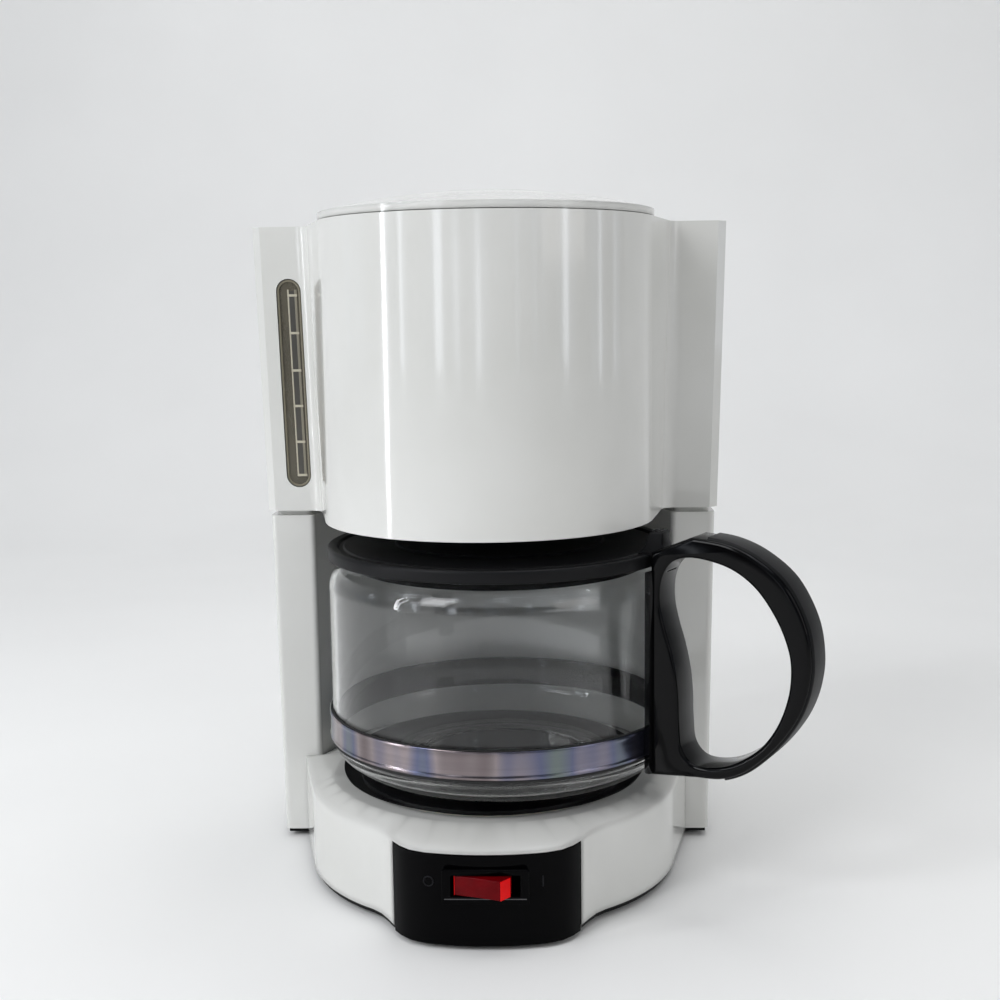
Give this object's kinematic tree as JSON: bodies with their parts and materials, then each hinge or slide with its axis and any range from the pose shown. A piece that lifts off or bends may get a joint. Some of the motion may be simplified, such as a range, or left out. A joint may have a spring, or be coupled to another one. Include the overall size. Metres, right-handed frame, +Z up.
{
  "type": "drip coffee maker",
  "caption": "Upright drip coffee maker with a round brew housing, rear water tank, warming plate, rocker switch and a lidded glass carafe with a loop handle.",
  "frame": {"origin": "middle of the underside of the whole object's box, on the table", "axes": "+Z up, -Y towards the front with the switch, +X to the right seen from the front"},
  "size_m": [0.2026, 0.1858, 0.25],
  "materials": {
    "white_plastic": "smooth glossy white",
    "black_plastic": "satin black",
    "gloss_black": "glossy black",
    "red_plastic": "translucent red",
    "plate_coating": "black non-stick coating",
    "silicone": "translucent silicone",
    "aluminium": "drawn",
    "steel": "brushed",
    "nylon": "natural",
    "smoked_plastic": "smoked translucent",
    "rubber": "matte black",
    "glass": "clear",
    "brass": "plain",
    "lead_sleeve": "insulated"
  },
  "bodies": {
    "machine": {"base_plate": "black_plastic", "base_screw_left": "steel", "base_screw_rear_left": "steel", "base_screw_rear_right": "steel", "base_screw_right": "steel", "base_shell": "white_plastic", "boiling_tube": "aluminium", "brew_housing": "white_plastic", "check_valve": "nylon", "clamp_screw_left": "steel", "clamp_screw_right": "steel", "control_panel": "gloss_black", "cord_gland": "rubber", "foot_front_left": "rubber", "foot_front_right": "rubber", "foot_rear_left": "rubber", "foot_rear_right": "rubber", "heater_clamp": "steel", "heating_element": "steel", "housing_floor": "white_plastic", "inlet_hose": "silicone", "lead_heater": "lead_sleeve", "lead_return": "lead_sleeve", "lead_supply": "lead_sleeve", "lead_switched": "lead_sleeve", "lid_pin_left": "steel", "lid_pin_right": "steel", "outlet_hose": "silicone", "plate_seal": "silicone", "rear_cover": "white_plastic", "rear_screw_left": "steel", "rear_screw_right": "steel", "reservoir": "smoked_plastic", "riser_tube": "nylon", "switch_contact": "brass", "switch_housing": "gloss_black", "switch_terminal_left": "brass", "switch_terminal_right": "brass", "thermal_fuse": "nylon", "thermostat": "nylon", "tower_screw_left": "steel", "tower_screw_right": "steel", "tower_shell": "white_plastic", "warming_plate": "plate_coating", "water_level_window": "smoked_plastic"},
    "rocker": {"switch_rocker": "red_plastic"},
    "lid": {"top_lid": "white_plastic", "water_spreader": "nylon"},
    "basket": {"filter_basket": "black_plastic"},
    "carafe": {"carafe_glass": "glass", "carafe_band": "steel", "band_screw": "steel", "carafe_handle": "black_plastic", "carafe_lid_pin": "steel"},
    "carafe_lid": {"carafe_lid": "black_plastic"}
  },
  "joints": [
    {"name": "power_switch", "type": "hinge", "parent": "machine", "child": "rocker", "pos_m": [-0.01237, -0.08256, 0.0228], "axis": [0, 0, 1], "range_deg": [0, 36]},
    {"name": "lid_hinge", "type": "hinge", "parent": "machine", "child": "lid", "pos_m": [-0.01237, 0.08454, 0.2426], "axis": [-1, 0, 0], "range_deg": [0, 95]},
    {"name": "basket_lift", "type": "slide", "parent": "machine", "child": "basket", "axis": [0, 0, 1], "range_m": [0, 0.05]},
    {"name": "carafe_slide", "type": "slide", "parent": "machine", "child": "carafe", "axis": [0, -1, 0], "range_m": [0, 0.18]},
    {"name": "carafe_lid_hinge", "type": "hinge", "parent": "carafe", "child": "carafe_lid", "pos_m": [0.04954, -0.03929, 0.1222], "axis": [0.4848, 0.8746, 0], "range_deg": [0, 3]}
  ],
  "couplings": [
    {"joint": "basket_lift", "follows": "lid_hinge", "m_per_rad": 0.03}
  ]
}
